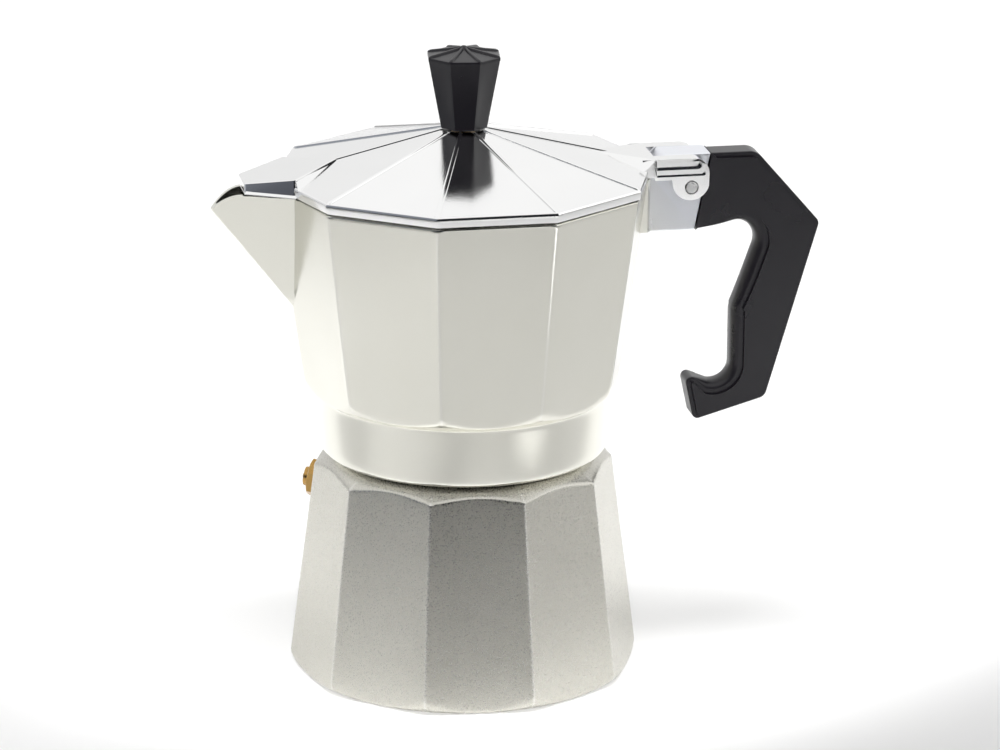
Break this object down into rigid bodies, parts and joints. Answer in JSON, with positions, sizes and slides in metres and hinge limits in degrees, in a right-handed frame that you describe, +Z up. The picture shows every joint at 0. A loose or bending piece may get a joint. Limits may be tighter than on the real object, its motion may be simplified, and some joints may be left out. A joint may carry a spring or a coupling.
{
  "type": "moka pot",
  "caption": "Faceted stovetop moka pot: screwed-on upper chamber with V spout, hinged lid with knob, hooked handle, and a funnel, gasket, filter and safety valve inside.",
  "frame": {"origin": "on the pot's axis, at the flat underside of the boiler", "axes": "+Z up along the pot's axis, +X towards the handle, spout towards -X, lid hinge axis along +Y"},
  "size_m": [0.1541, 0.0914, 0.16],
  "materials": {
    "polished_aluminium": "mirror polished",
    "satin_aluminium": "satin, warm silver",
    "blasted_aluminium": "fine blasted",
    "sheet_aluminium": "pressed sheet",
    "steel": "plain steel",
    "brass": "machined",
    "black_phenolic": "satin black moulding",
    "white_silicone": "matt white"
  },
  "bodies": {
    "base": {"boiler": "blasted_aluminium", "safety_valve_body": "brass", "safety_valve_washer": "white_silicone", "safety_valve_spring": "steel", "safety_valve_retainer": "brass"},
    "relief_pin": {"safety_valve_pin": "brass"},
    "funnel": {"coffee_funnel": "sheet_aluminium", "funnel_strainer": "sheet_aluminium"},
    "seal_pack": {"gasket": "white_silicone", "filter_plate": "sheet_aluminium"},
    "upper": {"collector": "satin_aluminium", "riser_column": "satin_aluminium", "handle": "black_phenolic", "handle_screw": "steel", "hinge_pin": "steel"},
    "lid_group": {"lid": "polished_aluminium", "lid_knob": "black_phenolic", "knob_insert": "brass", "knob_washer": "steel", "knob_screw": "steel"}
  },
  "joints": [
    {"name": "top_rise", "type": "slide", "parent": "base", "child": "seal_pack", "axis": [0, 0, 1], "range_m": [0, 0.0091]},
    {"name": "top_unscrew", "type": "hinge", "parent": "seal_pack", "child": "upper", "pos_m": [0, 0, 0.0635], "axis": [0, 0, 1], "range_deg": [0, 1080]},
    {"name": "lid_hinge", "type": "hinge", "parent": "upper", "child": "lid_group", "pos_m": [0.0562, 0, 0.1234], "axis": [0, 1, 0], "range_deg": [0, 97]},
    {"name": "funnel_lift", "type": "slide", "parent": "base", "child": "funnel", "axis": [0, 0, 1], "range_m": [0, 0.0078]},
    {"name": "valve_relief", "type": "slide", "parent": "base", "child": "relief_pin", "axis": [-0.9152, 0.3841, 0.1222], "range_m": [0, 0.0012], "stiffness_N_per_m": 250, "springref_m": -0.002, "deforming": ["safety_valve_spring"]}
  ],
  "couplings": [
    {"joint": "top_rise", "follows": "top_unscrew", "m_per_rad": 0.00047746},
    {"joint": "funnel_lift", "follows": "top_unscrew", "m_per_rad": 0.00040584}
  ]
}
